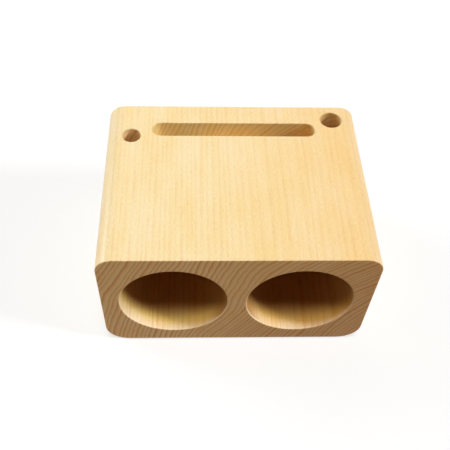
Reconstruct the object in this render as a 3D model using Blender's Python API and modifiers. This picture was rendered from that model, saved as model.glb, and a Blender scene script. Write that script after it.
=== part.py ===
"""Wooden phone stand with two sound horns and two pen holes.

One block of wood stands on four round anti-slip pads. A phone stands in a long
slot near the back of the top. Under the slot's floor two throats lead forward
into two large round horns, which open in the front face. A small pen hole is
bored at each end of the slot.

Lengths are in metres. +X is to the right, +Y to the back and +Z up. The origin
is under the middle of the block, on the surface that the pads stand on.
"""

import math

import bmesh
import bpy
from mathutils import Matrix, Vector

# Block, front to back
block_depth = 0.108

# Horns, bored into the front face
horn_diameter = 0.0555
horn_depth = 0.070

# Wood left round the horns
horn_web = 0.010
side_wall = 0.0095
roof_wall = 0.00925
floor_wall = 0.00925

# Phone slot, cut into the top: its inset is from the back to the slot's middle
slot_length = 0.090
slot_width = 0.010
slot_depth = 0.016
slot_inset = 0.0187

# Throats, bored from the horns' ends to under the slot
throat_diameter = 0.020
throat_spacing = 0.056
throat_bite = 0.0045
throat_runout = 0.0015

# Pen holes, bored into the top: insets from the sides and from the back
left_pen_diameter = 0.010
left_pen_depth = 0.045
left_pen_side_inset = 0.0139
left_pen_rear_inset = 0.0237
right_pen_diameter = 0.012
right_pen_depth = 0.045
right_pen_side_inset = 0.0152
right_pen_rear_inset = 0.0106

# Rounded edges of the block
top_edge_radius = 0.0095
bottom_edge_radius = 0.012
broken_edge = 0.0006

# Anti-slip pads, let into the underside
pad_diameter = 0.012
pad_stand = 0.001
pad_recess_depth = 0.001
pad_side_margin = 0.004
pad_end_margin = 0.010
pad_rim_round = 0.0004
seat_gap = 0.0003

# How far a cutter runs past the face it cuts
overrun = 0.002

# Facets of the round shapes
horn_segments = 72
throat_segments = 48
slot_segments = 32
pen_segments = 36
pad_segments = 36
edge_segments = 10
broken_edge_segments = 2
sharp_angle = math.radians(60)
round_profile_share = 0.5

# The block's width and height follow from the horns and the wood round them
block_width = 2 * horn_diameter + horn_web + 2 * side_wall
block_height = floor_wall + horn_diameter + roof_wall

front_y = -block_depth / 2
rear_y = block_depth / 2
left_x = -block_width / 2
right_x = block_width / 2
slot_y = rear_y - slot_inset
slot_floor_z = block_height - slot_depth
horn_x = (horn_diameter + horn_web) / 2
horn_z = floor_wall + horn_diameter / 2
throat_x = throat_spacing / 2
throat_z = slot_floor_z + throat_bite - throat_diameter / 2
throat_end_y = slot_y + slot_width / 2 + throat_runout
pad_x = right_x - bottom_edge_radius - pad_side_margin - pad_diameter / 2
pad_y = rear_y - pad_end_margin - pad_diameter / 2
pad_thickness = pad_stand + pad_recess_depth - seat_gap

facing_front = Matrix.Rotation(math.radians(90), 4, "X")
facing_up = Matrix.Identity(4)
facing_down = Matrix.Rotation(math.radians(180), 4, "X")


def clear_scene():
    """Remove the objects that a new file starts with."""
    for old in list(bpy.data.objects):
        bpy.data.objects.remove(old, do_unlink=True)


def new_collection(name):
    """A collection linked to the scene."""
    collection = bpy.data.collections.new(name)
    bpy.context.scene.collection.children.link(collection)
    return collection


def new_material(name, color, roughness):
    """A plain Principled material."""
    material = bpy.data.materials.new(name)
    material.use_nodes = True
    shader = material.node_tree.nodes["Principled BSDF"]
    shader.inputs["Base Color"].default_value = (*color, 1.0)
    shader.inputs["Roughness"].default_value = roughness
    shader.inputs["Metallic"].default_value = 0.0
    material.diffuse_color = (*color, 1.0)
    return material


def object_from(bm, name, collection):
    """Finish a bmesh as a new object in a collection."""
    mesh = bpy.data.meshes.new(name)
    bm.to_mesh(mesh)
    bm.free()
    obj = bpy.data.objects.new(name, mesh)
    collection.objects.link(obj)
    return obj


def edges_along_y(bm, above, height):
    """The edges that run from front to back, above or below a height."""
    found = []
    for edge in bm.edges:
        start, end = (vert.co for vert in edge.verts)
        lengthwise = start.y * end.y < 0
        if lengthwise and (start.z > height) == above:
            found.append(edge)
    return found


def make_block(collection, material):
    """The solid block: its profile is a rectangle with round corners, run front to back."""
    bm = bmesh.new()
    bmesh.ops.create_cube(bm, size=1.0)
    bmesh.ops.scale(bm, vec=(block_width, block_depth, block_height), verts=bm.verts)
    bmesh.ops.translate(bm, vec=(0, 0, block_height / 2), verts=bm.verts)
    for above, radius in ((True, top_edge_radius), (False, bottom_edge_radius)):
        bmesh.ops.bevel(
            bm,
            geom=edges_along_y(bm, above, block_height / 2),
            offset=radius,
            offset_type="OFFSET",
            segments=edge_segments,
            profile=round_profile_share,
            affect="EDGES",
        )
    block = object_from(bm, "block", collection)
    block.data.materials.append(material)
    block.location.z = pad_stand

    # The front and back faces' edges are only broken, not rounded like the long ones
    bevel = block.modifiers.new("broken_edges", "BEVEL")
    bevel.width = broken_edge
    bevel.segments = broken_edge_segments
    bevel.limit_method = "ANGLE"
    bevel.angle_limit = sharp_angle
    return block


def bore_cutter(name, collection, diameter, depth, segments, mouth=True, run=0.0):
    """A cutter for a flat-bottomed hole whose mouth is at the origin, facing +Z.

    Its facets touch the true circle from outside, so the hole is nowhere too
    tight. The mouth's edge is broken like the block's edges. A run stretches the
    round hole along X into a slot whose ends stay round.
    """
    radius = diameter / 2 / math.cos(math.pi / segments)
    shank_top = -broken_edge if mouth else overrun
    bm = bmesh.new()
    bmesh.ops.create_cone(
        bm,
        cap_ends=True,
        segments=segments,
        radius1=radius,
        radius2=radius,
        depth=depth + shank_top,
        matrix=Matrix.Translation((0, 0, (shank_top - depth) / 2)),
    )
    # Half a facet's turn leaves no corner on the line that a slot is parted at
    half_facet = Matrix.Rotation(math.pi / segments, 3, "Z")
    bmesh.ops.rotate(bm, cent=(0, 0, 0), matrix=half_facet, verts=bm.verts)
    if mouth:
        lid = max(bm.faces, key=lambda face: face.calc_center_median().z)
        flare = bmesh.ops.extrude_discrete_faces(bm, faces=[lid])["faces"][0]
        widening = (radius + broken_edge + overrun) / radius
        bmesh.ops.scale(bm, vec=(widening, widening, 1), verts=flare.verts)
        bmesh.ops.translate(bm, vec=(0, 0, broken_edge + overrun), verts=flare.verts)
    for vert in bm.verts:
        vert.co.x += math.copysign(run / 2, vert.co.x)
    cutter = object_from(bm, name, collection)
    cutter.hide_render = True
    cutter.display_type = "WIRE"
    return cutter


def cut(block, cutter, place, facing):
    """Put a cutter in its place on the block and take it out of the wood."""
    cutter.parent = block
    cutter.matrix_basis = Matrix.Translation(place) @ facing
    boolean = block.modifiers.new(cutter.name, "BOOLEAN")
    boolean.operation = "DIFFERENCE"
    boolean.solver = "EXACT"
    boolean.object = cutter


def cut_sound_path(block, collection):
    """Two horns in the front face, each with a throat that runs on to under the slot."""
    for side, name in ((-1, "left"), (1, "right")):
        horn = bore_cutter(f"{name}_horn", collection, horn_diameter, horn_depth, horn_segments)
        cut(block, horn, Vector((side * horn_x, front_y, horn_z)), facing_front)

        horn_end_y = front_y + horn_depth
        throat = bore_cutter(
            f"{name}_throat",
            collection,
            throat_diameter,
            throat_end_y - horn_end_y,
            throat_segments,
            mouth=False,
        )
        cut(block, throat, Vector((side * throat_x, horn_end_y, throat_z)), facing_front)


def cut_top_holes(block, collection):
    """The phone slot and the two pen holes in the top."""
    slot = bore_cutter(
        "phone_slot",
        collection,
        slot_width,
        slot_depth,
        slot_segments,
        run=slot_length - slot_width,
    )
    cut(block, slot, Vector((0, slot_y, block_height)), facing_up)

    left_pen = bore_cutter("left_pen_hole", collection, left_pen_diameter, left_pen_depth, pen_segments)
    left_place = Vector((left_x + left_pen_side_inset, rear_y - left_pen_rear_inset, block_height))
    cut(block, left_pen, left_place, facing_up)

    right_pen = bore_cutter("right_pen_hole", collection, right_pen_diameter, right_pen_depth, pen_segments)
    right_place = Vector((right_x - right_pen_side_inset, rear_y - right_pen_rear_inset, block_height))
    cut(block, right_pen, right_place, facing_up)


def make_pad(name, collection, material):
    """A round anti-slip pad, standing on its flat lower face, with both rims rounded."""
    bm = bmesh.new()
    bmesh.ops.create_cone(
        bm,
        cap_ends=True,
        segments=pad_segments,
        radius1=pad_diameter / 2,
        radius2=pad_diameter / 2,
        depth=pad_thickness,
        matrix=Matrix.Translation((0, 0, pad_thickness / 2)),
    )
    pad = object_from(bm, name, collection)
    pad.data.materials.append(material)
    rim = pad.modifiers.new("rounded_rims", "BEVEL")
    rim.width = pad_rim_round
    rim.segments = broken_edge_segments
    rim.limit_method = "ANGLE"
    rim.angle_limit = sharp_angle
    return pad


def add_pads(block, parts, cutters, material):
    """Four pads, each in a shallow round recess of the underside."""
    for end, end_name in ((-1, "front"), (1, "rear")):
        for side, side_name in ((-1, "left"), (1, "right")):
            place = Vector((side * pad_x, end * pad_y, 0))
            recess = bore_cutter(
                f"{end_name}_{side_name}_recess",
                cutters,
                pad_diameter + 2 * seat_gap,
                pad_recess_depth,
                pad_segments,
                mouth=False,
            )
            cut(block, recess, place, facing_down)

            pad = make_pad(f"foot_pad_{end_name}_{side_name}", parts, material)
            pad.parent = block
            pad.location = place - Vector((0, 0, pad_stand))
            pad.data.shade_smooth()
            pad.data.set_sharp_from_angle(angle=sharp_angle)


def build():
    """Make the whole stand."""
    clear_scene()
    parts = new_collection("wooden_phone_stand")
    cutters = new_collection("cutters")
    wood = new_material("pale_wood", (0.78, 0.56, 0.29), 0.42)
    rubber = new_material("pad_rubber", (0.06, 0.06, 0.06), 0.75)

    block = make_block(parts, wood)
    cut_sound_path(block, cutters)
    cut_top_holes(block, cutters)
    add_pads(block, parts, cutters, rubber)


build()
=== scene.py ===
"""A wooden phone stand: one block of pale wood with two sound horns, a phone slot and two pen holes."""

import math

import bpy
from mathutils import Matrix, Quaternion, Vector


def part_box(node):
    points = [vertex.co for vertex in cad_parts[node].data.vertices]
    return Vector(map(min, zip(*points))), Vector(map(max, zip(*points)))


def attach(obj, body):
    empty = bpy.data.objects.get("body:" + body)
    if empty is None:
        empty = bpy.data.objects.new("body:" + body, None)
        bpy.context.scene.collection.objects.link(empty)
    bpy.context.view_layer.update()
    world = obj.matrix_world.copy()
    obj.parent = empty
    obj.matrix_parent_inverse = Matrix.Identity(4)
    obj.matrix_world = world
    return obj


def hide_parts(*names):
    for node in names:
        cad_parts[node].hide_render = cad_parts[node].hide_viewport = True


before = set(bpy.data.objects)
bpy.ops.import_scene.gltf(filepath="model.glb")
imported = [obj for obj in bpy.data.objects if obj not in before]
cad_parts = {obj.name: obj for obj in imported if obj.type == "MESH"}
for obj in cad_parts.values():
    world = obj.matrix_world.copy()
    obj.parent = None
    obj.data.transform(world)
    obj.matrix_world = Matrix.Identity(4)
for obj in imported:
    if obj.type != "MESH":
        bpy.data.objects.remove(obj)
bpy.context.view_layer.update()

# The view. A standard lens looks down on the stand from in front, a little left of its middle. The
# picture is the upper part of a taller one, so the lens is shifted a little.
camera_data = bpy.data.cameras.new("camera")
camera_data.lens = 53.01
camera_data.sensor_width = 36.0
camera_data.clip_start = 0.01
camera_data.shift_x = 0.0122
camera_data.shift_y = 0.0678
camera = bpy.data.objects.new("camera", camera_data)
camera.location = (-0.02295, -0.23629, 0.32837)
camera.rotation_euler = (math.radians(36.214), math.radians(-1.827), math.radians(-1.453))
bpy.context.scene.collection.objects.link(camera)
bpy.context.scene.camera = camera
bpy.context.scene.view_settings.view_transform = "Standard"

# The studio. A soft lamp high above and a little in front does most of the work. A cool one low on the
# right and one behind on the left brighten the sides, and two weak ones fill in. They stand in a white
# tent that is open towards the camera. The tent and the table are plain white to the eye.


def linear(hex_colour):
    """A hex colour, as seen on a screen, in the linear values that Blender works in."""
    channels = [int(hex_colour[i:i + 2], 16) / 255 for i in (1, 3, 5)]
    return [c / 12.92 if c <= 0.04045 else ((c + 0.055) / 1.055) ** 2.4 for c in channels] + [1.0]


# Each lamp's place, the direction that it stands in, its width in degrees, its strength and its colour
lamps = (
    ("overhead", (0.1, -0.92, 5.0), 16, 1.60, "#fffdf8"),
    ("right", (1.0, -0.20, 0.55), 11, 2.00, "#f8fcff"),
    ("left", (-1.0, -0.06, 0.60), 15, 0.30, "#ffc890"),
    ("left_back", (-1.0, 0.45, 0.40), 30, 1.85, "#e8f5ff"),
    ("back", (0.0, 1.0, 0.80), 40, 0.15, "#ffffff"),
)
for place, lamp_from, lamp_angle, lamp_strength, lamp_colour in lamps:
    lamp_data = bpy.data.lights.new(f"{place}_lamp", "SUN")
    lamp_data.color = linear(lamp_colour)[:3]
    lamp_data.angle = math.radians(lamp_angle)
    lamp_data.energy = lamp_strength
    lamp = bpy.data.objects.new(lamp_data.name, lamp_data)
    lamp.rotation_euler = Vector(lamp_from).to_track_quat("Z", "Y").to_euler()
    bpy.context.scene.collection.objects.link(lamp)


def add_node(tree, kind, settings=None, links=None):
    """Add a node, set its properties and unlinked sockets, and link other nodes' outputs to it."""
    node = tree.nodes.new(kind)
    for name, value in (settings or {}).items():
        if isinstance(name, str) and hasattr(node, name):
            setattr(node, name, value)
        else:
            node.inputs[name].default_value = value
    for name, output in (links or {}).items():
        tree.links.new(output, node.inputs[name])
    return node


def seen_by_eye(tree):
    """An output that is 1 to the eye, also off a gloss or through glass, and 0 to all other light."""
    paths = add_node(tree, "ShaderNodeLightPath")
    seen = paths.outputs["Is Camera Ray"]
    for ray in ("Is Glossy Ray", "Is Transmission Ray"):
        either = add_node(tree, "ShaderNodeMath", {"operation": "MAXIMUM"}, {0: seen, 1: paths.outputs[ray]})
        seen = either.outputs[0]
    return seen


# How much light the tent and its opening give, and the directions, by their Y, between which one turns
# into the other
tent_strength = 0.09
tent_from = -0.02
opening_strength = 0.02
opening_to = -0.20
world = bpy.data.worlds.new("studio")
world.use_nodes = True
tree = world.node_tree
tree.nodes.clear()
towards = add_node(tree, "ShaderNodeTexCoord")
towards = add_node(tree, "ShaderNodeSeparateXYZ", {}, {0: towards.outputs["Generated"]})
tent = add_node(tree, "ShaderNodeMapRange",
                {"From Min": opening_to, "From Max": tent_from, "To Min": opening_strength,
                 "To Max": tent_strength, "interpolation_type": "SMOOTHSTEP"},
                {"Value": towards.outputs["Y"]})
strength = add_node(tree, "ShaderNodeMix", {3: 1.0}, {0: seen_by_eye(tree), 2: tent.outputs[0]})
light = add_node(tree, "ShaderNodeBackground", {"Color": (1, 1, 1, 1)}, {"Strength": strength.outputs[0]})
add_node(tree, "ShaderNodeOutputWorld", {}, {"Surface": light.outputs[0]})
bpy.context.scene.world = world

# The table glows a little to the eye, so that it is as white as the tent and still takes a shadow. To
# all other light it is a light grey.
floor_radius = 3.0
floor_facets = 96
floor_glow = 0.6
bpy.ops.mesh.primitive_circle_add(vertices=floor_facets, radius=floor_radius, fill_type="NGON")
floor = bpy.context.object
floor.name = "floor"
white_table = bpy.data.materials.new("white_table")
white_table.use_nodes = True
tree = white_table.node_tree
tree.nodes.clear()
seen = seen_by_eye(tree)
colour = add_node(tree, "ShaderNodeMix", {"data_type": "RGBA", 6: linear("#a5a29d"), 7: linear("#ffffff")},
                  {0: seen})
top = add_node(tree, "ShaderNodeBsdfDiffuse", {}, {"Color": colour.outputs[2]})
glow = add_node(tree, "ShaderNodeEmission", {"Color": (1, 1, 1, 1), "Strength": 1.0})
share = add_node(tree, "ShaderNodeMath", {"operation": "MULTIPLY", 1: floor_glow}, {0: seen})
top = add_node(tree, "ShaderNodeMixShader", {}, {0: share.outputs[0], 1: top.outputs[0], 2: glow.outputs[0]})
add_node(tree, "ShaderNodeOutputMaterial", {}, {"Surface": top.outputs[0]})
floor.data.materials.append(white_table)


# The block. It is sawn from one plank of beech with the grain running front to back, planed,
# its long edges rounded on a router table, and bored. Every other edge is broken with fine paper,
# and the whole of it has a clear satin finish.
low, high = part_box("block")
top_edge_radius = 0.0095
bottom_edge_radius = 0.012
horn_radius = 0.02775
horn_x = 0.03275
horn_z = 0.038
horn_depth = 0.070
throat_radius = 0.010
throat_x = 0.028
throat_z = 0.0535
throat_end = 0.0418
slot_y = 0.0353
slot_length = 0.090
slot_width = 0.010
slot_depth = 0.016
left_pen_hole = (-0.0561, 0.0303, 0.005)
right_pen_hole = (0.0548, 0.0434, 0.006)
pen_depth = 0.045
pad_x = 0.048
pad_y = 0.038
recess_radius = 0.0063
recess_depth = 0.001
horn_rim = 0.0006
broken_edge = 0.0006
overrun = 0.002

# Facets and profile of the round shapes, and the angles above which an edge is broken or stays crisp
edge_segments = 20
rim_segments = 5
horn_facets = 192
throat_facets = 96
slot_facets = 96
pen_facets = 96
recess_facets = 64
round_profile = 0.5
broken_above = math.radians(60)
crisp_above = math.radians(32)

# How near a point has to be to lie on a flat face or on a horn's rim, and to be one with another point
on_face = 0.00001
on_rim = 0.0001
same_point = 0.000002

# Beech, planed or bored, under a clear satin finish. The growth rings are circles round a pith that
# lay below the block to its right, so they slant over the end grain in front and run straight along
# the top. Latewood takes out blue light most and red light least. End grain drinks the finish and
# turns tan, with strong red-brown rings. Long grain stays cream and shows them faintly, broken into
# dashes. In the bores the bit leaves it a warmer yellow, and painted shade browns it with depth. The
# lips of the horns carry painted light, paler where the lamps reach in, and paper leaves their rims
# paler still. The lengths here are in millimetres.
pith = (150.0, -35.0)
ring_spacing = 2.6
bend_size = 6.5
bend_reach = 27.0
bend_bottom = 5.0
bend_height = 100.0
pace_length = 9.0
pace_size = 3.2
gloss_swing = 0.05


def make_beech(name, long_grain, end_grain, latewood_tint, long_share, roughness, film, painted_lip_light=None, painted_shade=None):
    """Beech as a solid pattern in millimetres. Each pair of colours is away from and at the heart.

    The tint is what latewood lets through, and long grain shows a share of it. The film is how much of
    the finish stands on long grain. A horn's mouth may take a painted light, paler where lamps reach in,
    and its far walls a painted shade, each with a colour of its own.
    """
    material = bpy.data.materials.new(name)
    material.use_nodes = True
    tree = material.node_tree
    shader = tree.nodes["Principled BSDF"]
    place = add_node(tree, "ShaderNodeTexCoord")
    mm = add_node(tree, "ShaderNodeVectorMath", {"operation": "SCALE", "Scale": 1000.0},
                  {0: place.outputs["Object"]})
    at = add_node(tree, "ShaderNodeSeparateXYZ", {}, {0: mm.outputs[0]})

    # The tree leaned as it grew: between the horns the rings bend like an S, 6.5 mm to each side
    turn = add_node(tree, "ShaderNodeMath", {"operation": "MULTIPLY_ADD", 1: math.tau / bend_height,
                                             2: -math.tau * bend_bottom / bend_height}, {0: at.outputs["Z"]})
    turn = add_node(tree, "ShaderNodeMath", {"operation": "SINE"}, {0: turn.outputs[0]})
    near = add_node(tree, "ShaderNodeMath", {"operation": "DIVIDE", 1: bend_reach}, {0: at.outputs["X"]})
    near = add_node(tree, "ShaderNodeMath", {"operation": "POWER", 1: 2.0}, {0: near.outputs[0]})
    near = add_node(tree, "ShaderNodeMath", {"operation": "MULTIPLY", 1: -1.0}, {0: near.outputs[0]})
    near = add_node(tree, "ShaderNodeMath", {"operation": "EXPONENT"}, {0: near.outputs[0]})
    bend = add_node(tree, "ShaderNodeMath", {"operation": "MULTIPLY"},
                    {0: turn.outputs[0], 1: near.outputs[0]})
    bend = add_node(tree, "ShaderNodeMath", {"operation": "MULTIPLY", 1: -bend_size}, {0: bend.outputs[0]})
    bent = add_node(tree, "ShaderNodeCombineXYZ", {}, {"X": bend.outputs[0]})
    bent = add_node(tree, "ShaderNodeVectorMath", {"operation": "ADD"},
                    {0: mm.outputs[0], 1: bent.outputs[0]})

    # Distance from the pith, with slow drift and small wobble drawn out along the grain: for each its
    # width and length, its detail and its size
    across = add_node(tree, "ShaderNodeVectorMath", {"operation": "SUBTRACT", 1: (pith[0], 0, pith[1])},
                      {0: bent.outputs[0]})
    across = add_node(tree, "ShaderNodeVectorMath", {"operation": "MULTIPLY", 1: (1, 0, 1)},
                      {0: across.outputs[0]})
    across = add_node(tree, "ShaderNodeVectorMath", {"operation": "LENGTH"}, {0: across.outputs[0]})
    radius = across.outputs["Value"]
    for width, length, detail, size in ((30, 400, 1.0, 6.0), (4, 60, 2.0, 1.2)):
        sway = add_node(tree, "ShaderNodeMapping", {"Scale": (1 / width, 1 / length, 1 / width)},
                        {0: mm.outputs[0]})
        sway = add_node(tree, "ShaderNodeTexNoise", {"Scale": 1.0, "Detail": detail},
                        {"Vector": sway.outputs[0]})
        sway = add_node(tree, "ShaderNodeMath", {"operation": "MULTIPLY_ADD", 1: size},
                        {0: sway.outputs["Fac"], 2: radius})
        radius = sway.outputs[0]

    # Good years and bad years: the rings are up to half as wide again, or a quarter narrower
    pace = add_node(tree, "ShaderNodeMath", {"operation": "DIVIDE", 1: pace_length}, {0: radius})
    pace = add_node(tree, "ShaderNodeTexNoise", {"noise_dimensions": "1D", "Scale": 1.0, "Detail": 1.0},
                    {"W": pace.outputs[0]})
    pace = add_node(tree, "ShaderNodeMath", {"operation": "MULTIPLY_ADD", 1: pace_size},
                    {0: pace.outputs["Fac"], 2: radius})
    radius = pace.outputs[0]

    # Each ring darkens slowly outwards into a band of latewood, which ends sharply and is up to twice as
    # strong in one year as in another
    rings = add_node(tree, "ShaderNodeMath", {"operation": "DIVIDE", 1: ring_spacing}, {0: radius})
    share = add_node(tree, "ShaderNodeMath", {"operation": "FRACT"}, {0: rings.outputs[0]})
    count = add_node(tree, "ShaderNodeMath", {"operation": "FLOOR"}, {0: rings.outputs[0]})
    year = add_node(tree, "ShaderNodeTexWhiteNoise", {"noise_dimensions": "1D"}, {"W": count.outputs[0]})
    year = add_node(tree, "ShaderNodeMapRange", {"To Min": 0.5, "To Max": 1.0},
                    {"Value": year.outputs["Value"]})
    line = add_node(tree, "ShaderNodeValToRGB", {}, {0: share.outputs[0]})
    line.color_ramp.elements[1].color = (0, 0, 0, 1)
    for position, level in ((0.10, 0.0), (0.35, 0.10), (0.60, 0.40), (0.76, 0.90), (0.84, 1.0), (0.94, 0.85)):
        line.color_ramp.elements.new(position).color = (level, level, level, 1)
    latewood = add_node(tree, "ShaderNodeMath", {"operation": "MULTIPLY"},
                        {0: line.outputs[0], 1: year.outputs[0]})

    # How much of the surface is end grain
    facing = add_node(tree, "ShaderNodeSeparateXYZ", {}, {0: place.outputs["Normal"]})
    end = add_node(tree, "ShaderNodeMath", {"operation": "ABSOLUTE"}, {0: facing.outputs["Y"]})
    end = add_node(tree, "ShaderNodeMapRange",
                   {"From Min": 0.6, "From Max": 0.95, "interpolation_type": "SMOOTHSTEP"},
                   {"Value": end.outputs[0]})

    # Long grain shows a share of each line, in dashes 5 to 20 mm long
    dash = add_node(tree, "ShaderNodeMapping", {"Scale": (1 / 3, 1 / 14, 1 / 3)}, {0: mm.outputs[0]})
    dash = add_node(tree, "ShaderNodeTexNoise", {"Scale": 1.0, "Detail": 2.0}, {"Vector": dash.outputs[0]})
    dash = add_node(tree, "ShaderNodeMapRange",
                    {"From Min": 0.35, "From Max": 0.65, "To Min": 0.4 * long_share,
                     "To Max": 1.6 * long_share}, {"Value": dash.outputs["Fac"]})
    shown = add_node(tree, "ShaderNodeMix", {3: 1.0}, {0: end.outputs[0], 2: dash.outputs[0]})
    line = add_node(tree, "ShaderNodeMath", {"operation": "MULTIPLY"},
                    {0: latewood.outputs[0], 1: shown.outputs[0]})

    # The clear wood: long grain and end grain, both warmer from 205 to 120 mm off the pith
    heart = add_node(tree, "ShaderNodeMapRange",
                     {"From Min": 205.0, "From Max": 120.0, "interpolation_type": "SMOOTHSTEP"},
                     {"Value": radius})
    along = add_node(tree, "ShaderNodeMix",
                     {"data_type": "RGBA", 6: linear(long_grain[0]), 7: linear(long_grain[1])},
                     {0: heart.outputs[0]})
    front = low.y * 1000
    if painted_lip_light:
        # Painted light: a horn's mouth pales 2 mm in on its right wall and 9.5 mm in on its left wall, where
        # the lamps reach
        reach = add_node(tree, "ShaderNodeMapRange",
                         {"From Min": -1.0, "To Min": front + 2.0, "To Max": front + 9.5},
                         {"Value": facing.outputs["X"]})
        lit_share = add_node(tree, "ShaderNodeMapRange", {"From Min": front, "To Min": 1.0, "To Max": 0.0},
                          {"Value": at.outputs["Y"], "From Max": reach.outputs[0]})
        along = add_node(tree, "ShaderNodeMix", {"data_type": "RGBA", 7: linear(painted_lip_light)},
                         {0: lit_share.outputs[0], 6: along.outputs[2]})
    if painted_shade:
        # Painted shade browns the horns over 11 mm: from 5 mm in, or from the very edge on their shaded right
        # walls, and all along where little wood is left between the horns
        onset = add_node(tree, "ShaderNodeMapRange",
                         {"From Min": -1.0, "From Max": -0.6, "To Min": front - 1.0, "To Max": front + 5.0},
                         {"Value": facing.outputs["X"]})
        depth = add_node(tree, "ShaderNodeMath", {"operation": "SUBTRACT"},
                         {0: at.outputs["Y"], 1: onset.outputs[0]})
        shade_share = add_node(tree, "ShaderNodeMapRange", {"From Max": 11.0, "interpolation_type": "SMOOTHSTEP"},
                           {"Value": depth.outputs[0]})
        web = add_node(tree, "ShaderNodeMath", {"operation": "ABSOLUTE"}, {0: at.outputs["X"]})
        web = add_node(tree, "ShaderNodeMapRange",
                       {"From Min": 16.0, "From Max": 6.0, "interpolation_type": "SMOOTHSTEP"},
                       {"Value": web.outputs[0]})
        shade_share = add_node(tree, "ShaderNodeMath", {"operation": "MAXIMUM"},
                           {0: shade_share.outputs[0], 1: web.outputs[0]})
        along = add_node(tree, "ShaderNodeMix", {"data_type": "RGBA", 7: linear(painted_shade)},
                         {0: shade_share.outputs[0], 6: along.outputs[2]})
    ends = add_node(tree, "ShaderNodeMix",
                    {"data_type": "RGBA", 6: linear(end_grain[0]), 7: linear(end_grain[1])},
                    {0: heart.outputs[0]})
    colour = add_node(tree, "ShaderNodeMix", {"data_type": "RGBA"},
                      {0: end.outputs[0], 6: along.outputs[2], 7: ends.outputs[2]})
    colour = add_node(tree, "ShaderNodeMix",
                      {"data_type": "RGBA", "blend_type": "MULTIPLY", 7: linear(latewood_tint)},
                      {0: line.outputs[0], 6: colour.outputs[2]})

    # Ray flecks and fibres, drawn several times as coarse as real ones so that they show, streaks of
    # one and of four millimetres, and slow clouds: each swings the yellow more than the brightness.
    # For each its width and length, its detail and its tint
    stains = (
        ("fleck", 0.6, 2.0, 2.0, "#faf1dd"),
        ("fibre", 0.35, 5, 3.0, "#fefbee"),
        ("streak", 1.0, 14, 2.0, "#fefcee"),
        ("band", 4.0, 60, 1.0, "#fefaec"),
        ("cloud", 14.0, 38, 2.0, "#fdf7e4"),
    )
    noises = {}
    for stain, width, length, detail, tint in stains:
        spread = add_node(tree, "ShaderNodeMapping", {"Scale": (1 / width, 1 / length, 1 / width)},
                          {0: mm.outputs[0]})
        noises[stain] = add_node(tree, "ShaderNodeTexNoise", {"Scale": 1.0, "Detail": detail},
                                 {"Vector": spread.outputs[0]})
        amount = add_node(tree, "ShaderNodeMapRange",
                          {"From Min": 0.3, "From Max": 0.7, "To Min": -0.5, "To Max": 0.5},
                          {"Value": noises[stain].outputs["Fac"]})
        colour = add_node(tree, "ShaderNodeMix", {"data_type": "RGBA", "blend_type": "MULTIPLY",
                                                  "clamp_factor": False, 7: linear(tint)},
                          {0: amount.outputs[0], 6: colour.outputs[2]})
    tree.links.new(colour.outputs[2], shader.inputs["Base Color"])

    # The finish fills the fibres, but not quite: they stand 0.02 mm proud and dull the gloss a little.
    # End grain drinks all but an eighth of it.
    gloss = add_node(tree, "ShaderNodeMapRange",
                     {"From Min": 0.3, "From Max": 0.7, "To Min": roughness - gloss_swing,
                      "To Max": roughness + gloss_swing}, {"Value": noises["streak"].outputs["Fac"]})
    tree.links.new(gloss.outputs[0], shader.inputs["Roughness"])
    bump = add_node(tree, "ShaderNodeBump", {"Strength": 0.6, "Distance": 0.00002},
                    {"Height": noises["fibre"].outputs["Fac"]})
    tree.links.new(bump.outputs[0], shader.inputs["Normal"])
    coat = add_node(tree, "ShaderNodeMapRange", {"To Min": film, "To Max": film / 8},
                    {"Value": end.outputs[0]})
    tree.links.new(coat.outputs[0], shader.inputs["Coat Weight"])
    shader.inputs["Specular IOR Level"].default_value = film / 5
    shader.inputs["Coat Roughness"].default_value = 0.3
    return material


# The outside is planed and keeps the most finish. The horns and throats keep little and show their
# lines more. The slot's end grain is paler, partly from the router and partly as painted light that its
# rear wall catches. The drill leaves paler end grain in the pen holes and the recesses, and paper
# leaves the horns' rims smoothest.
planed_beech = make_beech(
    "planed_beech", long_grain=("#f2d8a2", "#f0ca8c"), end_grain=("#e1b679", "#d3a165"),
    latewood_tint="#dfae76", long_share=0.13, roughness=0.42, film=0.58)
# The horns' mouths take a painted light and their far walls a painted shade
bored_beech = make_beech(
    "bored_beech", long_grain=("#f1cd76", "#eabb68"), end_grain=("#cf9a5b", "#cc9354"),
    latewood_tint="#dfae76", long_share=0.3, roughness=0.42, film=0.1, painted_lip_light="#fadfb9", painted_shade="#cc985a")
# The slot's end grain is partly painted light on its rear wall
routed_beech = make_beech(
    "routed_beech", long_grain=("#f6dc9c", "#f2d090"), end_grain=("#fee4a2", "#e8b865"),
    latewood_tint="#f1dec8", long_share=0.2, roughness=0.42, film=0.17)
drilled_beech = make_beech(
    "drilled_beech", long_grain=("#f5d39c", "#e7c081"), end_grain=("#f5d39c", "#e7c081"),
    latewood_tint="#e9d3b6", long_share=0.2, roughness=0.45, film=0.1)
sanded_beech = make_beech(
    "sanded_beech", long_grain=("#fde6c2", "#fbe0b8"), end_grain=("#ecc68a", "#e2b67a"),
    latewood_tint="#e4c8a4", long_share=0.2, roughness=0.3, film=0.1)

bpy.ops.object.select_all(action="DESELECT")
bpy.ops.mesh.primitive_cube_add(size=1, location=(low + high) / 2, scale=high - low)
block = bpy.context.object
block.name = "wood_block"
bpy.ops.object.transform_apply(location=True, rotation=True, scale=True)
finishes = (planed_beech, bored_beech, routed_beech, drilled_beech, sanded_beech)
for finish in finishes:
    block.data.materials.append(finish)


def select_nothing(piece):
    """Leave edit mode, with no point, edge or face of a piece selected."""
    bpy.ops.object.mode_set(mode="OBJECT")
    for part in (piece.data.vertices, piece.data.edges, piece.data.polygons):
        part.foreach_set("select", [False] * len(part))


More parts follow.
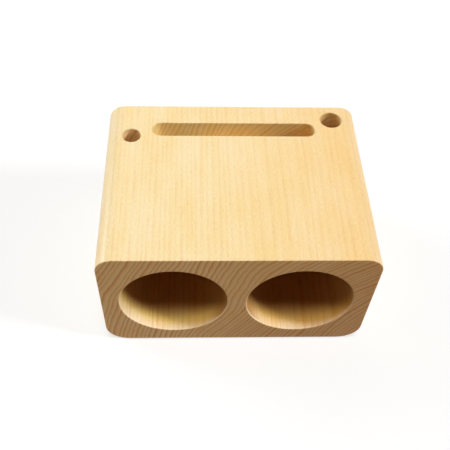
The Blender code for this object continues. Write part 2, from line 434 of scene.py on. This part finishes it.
def select_edges(piece, wanted):
    """Select the edges that pass a test of their two ends, and nothing else, and open edit mode."""
    select_nothing(piece)
    bpy.context.tool_settings.mesh_select_mode = (False, True, False)
    for edge in piece.data.edges:
        edge.select = wanted(*(piece.data.vertices[i].co for i in edge.vertices))
    bpy.ops.object.mode_set(mode="EDIT")


middle_z = (low.z + high.z) / 2
for above, radius in ((True, top_edge_radius), (False, bottom_edge_radius)):
    select_edges(block, lambda a, b: a.y * b.y < 0 and (a.z > middle_z) == above)
    bpy.ops.mesh.bevel(offset=radius, segments=edge_segments, profile=round_profile, clamp_overlap=False)
bpy.ops.object.mode_set(mode="OBJECT")


def bore(start, end, radius, facets, finish, run=0.0):
    """Take a round hole between two points out of the block, or a slot if it has a run along X."""
    start, end = Vector(start), Vector(end)
    along = end - start
    turned = along.to_track_quat("Z", "Y")
    if run:
        # Half a facet's turn leaves no corner on the line that the bit is parted at
        turned @= Quaternion((0, 0, 1), math.pi / facets)
    bpy.ops.object.select_all(action="DESELECT")
    bpy.ops.mesh.primitive_cylinder_add(vertices=facets, radius=radius, depth=along.length,
                                        location=(start + end) / 2, rotation=turned.to_euler())
    bit = bpy.context.object
    bpy.ops.object.transform_apply(location=True, rotation=True, scale=True)
    if run:
        for vertex in bit.data.vertices:
            vertex.co.x += math.copysign(run / 2, vertex.co.x - start.x)
    for material in finishes:
        bit.data.materials.append(material)
    for face in bit.data.polygons:
        face.material_index = finishes.index(finish)
    cut = block.modifiers.new("cut", "BOOLEAN")
    cut.object = bit
    bpy.context.view_layer.objects.active = block
    bpy.ops.object.modifier_apply(modifier=cut.name)
    bpy.data.objects.remove(bit)


# The horns and throats are bored from the front, the slot is routed and the pen holes are drilled
# from the top, and the pads' recesses are spot-faced from below
horn_end = low.y + horn_depth
for side in (-1, 1):
    x = side * horn_x
    bore((x, low.y - overrun, horn_z), (x, horn_end, horn_z), horn_radius, horn_facets, bored_beech)
    x = side * throat_x
    bore((x, horn_end - overrun, throat_z), (x, throat_end, throat_z), throat_radius, throat_facets,
         bored_beech)
    for end in (-1, 1):
        x, y = side * pad_x, end * pad_y
        bore((x, y, low.z - overrun), (x, y, low.z + recess_depth), recess_radius, recess_facets,
             drilled_beech)
for x, y, radius in (left_pen_hole, right_pen_hole):
    bore((x, y, high.z + overrun), (x, y, high.z - pen_depth), radius, pen_facets, drilled_beech)

# The facets of the slot's ends touch the true circle from outside, so the slot is nowhere too tight
slot_radius = slot_width / 2 / math.cos(math.pi / slot_facets)
bore((0, slot_y, high.z + overrun), (0, slot_y, high.z - slot_depth), slot_radius, slot_facets, routed_beech,
     run=slot_length - slot_width)


def on_mouth(point):
    """True for a point on the rim of a horn's mouth."""
    from_axis = math.hypot(abs(point.x) - horn_x, point.z - horn_z)
    return abs(point.y - low.y) < on_face and abs(from_axis - horn_radius) < on_rim


def on_outside(point):
    """True for a point on the front, back, top or underside of the block."""
    return (min(abs(point.y - low.y), abs(point.y - high.y)) < on_face
            or min(abs(point.z - low.z), abs(point.z - high.z)) < on_face)


# The horns' rims are rounded and sanded, and then every other edge that a hand can reach is broken
select_edges(block, lambda a, b: on_mouth(a) and on_mouth(b) and a.x * b.x > 0)
bpy.ops.mesh.bevel(offset=horn_rim, segments=rim_segments, profile=round_profile, clamp_overlap=False,
                   material=finishes.index(sanded_beech))
bpy.ops.mesh.select_all(action="DESELECT")
bpy.ops.mesh.edges_select_sharp(sharpness=broken_above)
bpy.ops.object.mode_set(mode="OBJECT")
points = block.data.vertices
sharp = [e.index for e in block.data.edges if e.select and all(on_outside(points[i].co) for i in e.vertices)]
select_nothing(block)
for index in sharp:
    block.data.edges[index].select = True
bpy.ops.object.mode_set(mode="EDIT")
bpy.ops.mesh.bevel(offset=broken_edge, segments=rim_segments, profile=round_profile, clamp_overlap=False)

# Points that fell together where two cuts meet become one
bpy.ops.mesh.select_all(action="SELECT")
bpy.ops.mesh.remove_doubles(threshold=same_point)
bpy.ops.object.mode_set(mode="OBJECT")
bpy.ops.object.shade_smooth_by_angle(angle=crisp_above)
weighted = block.modifiers.new("weighted", "WEIGHTED_NORMAL")
weighted.keep_sharp = True
bpy.ops.object.modifier_apply(modifier=weighted.name)
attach(block, "root")
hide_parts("block")


# The pads. Four moulded rubber discs with a shallow dimple, each pressed into its recess in the
# underside with a self-adhesive back. They lift the block 1 mm off the desk and keep it from sliding.
pad_radius = 0.006
pad_facets = 64
pad_rim = 0.0004
pad_rim_segments = 4
pad_lip = 0.0016
pad_dimple = 0.00015
dimple_slope = 0.0003

# Natural rubber, moulded: dull charcoal with a fine grain from the mould, and patches of dust. Both
# sizes are in millimetres
mould_grain = 0.25
dust_patch = 2.5
rubber = bpy.data.materials.new("moulded_rubber")
rubber.use_nodes = True
tree = rubber.node_tree
shader = tree.nodes["Principled BSDF"]
place = add_node(tree, "ShaderNodeTexCoord")
mm = add_node(tree, "ShaderNodeVectorMath", {"operation": "SCALE", "Scale": 1000.0},
              {0: place.outputs["Object"]})
grain = add_node(tree, "ShaderNodeTexNoise", {"Scale": 1 / mould_grain, "Detail": 2.0},
                 {"Vector": mm.outputs[0]})
dust = add_node(tree, "ShaderNodeTexNoise", {"Scale": 1 / dust_patch, "Detail": 3.0},
                {"Vector": mm.outputs[0]})
dust = add_node(tree, "ShaderNodeMapRange", {"From Min": 0.45, "From Max": 0.75, "To Max": 0.5},
                {"Value": dust.outputs["Fac"]})
colour = add_node(tree, "ShaderNodeMix", {"data_type": "RGBA", 6: linear("#2a2a2b"), 7: linear("#4a4743")},
                  {0: dust.outputs[0]})
dull = add_node(tree, "ShaderNodeMapRange", {"To Min": 0.62, "To Max": 0.8}, {"Value": grain.outputs["Fac"]})
bump = add_node(tree, "ShaderNodeBump", {"Strength": 0.7, "Distance": 0.00003},
                {"Height": grain.outputs["Fac"]})
tree.links.new(colour.outputs[2], shader.inputs["Base Color"])
tree.links.new(dull.outputs[0], shader.inputs["Roughness"])
tree.links.new(bump.outputs[0], shader.inputs["Normal"])
shader.inputs["IOR"].default_value = 1.52

pad_low, pad_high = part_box("foot_pad_front_left")
middle = (pad_low + pad_high) / 2
bpy.ops.object.select_all(action="DESELECT")
bpy.ops.mesh.primitive_cylinder_add(vertices=pad_facets, radius=pad_radius, depth=pad_high.z - pad_low.z,
                                    location=middle)
pad = bpy.context.object
bpy.ops.object.transform_apply(location=True, rotation=True, scale=True)
select_edges(pad, lambda a, b: abs(a.z - b.z) < on_face)
bpy.ops.mesh.bevel(offset=pad_rim, segments=pad_rim_segments, profile=round_profile)
select_nothing(pad)
sole = min(pad.data.polygons, key=lambda face: (round(face.center.z, 6), -face.area))
sole.select = True
bpy.context.tool_settings.mesh_select_mode = (False, False, True)
bpy.ops.object.mode_set(mode="EDIT")
bpy.ops.mesh.inset(thickness=pad_lip)
bpy.ops.mesh.inset(thickness=dimple_slope)
bpy.ops.transform.translate(value=(0, 0, pad_dimple))
bpy.ops.object.mode_set(mode="OBJECT")
bpy.ops.object.shade_smooth_by_angle(angle=crisp_above)
pad.data.materials.append(rubber)
for end in ("front", "rear"):
    for side in ("left", "right"):
        node = f"foot_pad_{end}_{side}"
        copy = bpy.data.objects.new(f"rubber_pad_{end}_{side}", pad.data.copy())
        bpy.context.scene.collection.objects.link(copy)
        spot_low, spot_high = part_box(node)
        shift = (spot_low + spot_high) / 2 - middle
        for vertex in copy.data.vertices:
            vertex.co += shift
        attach(copy, "root")
        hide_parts(node)
bpy.data.objects.remove(pad)
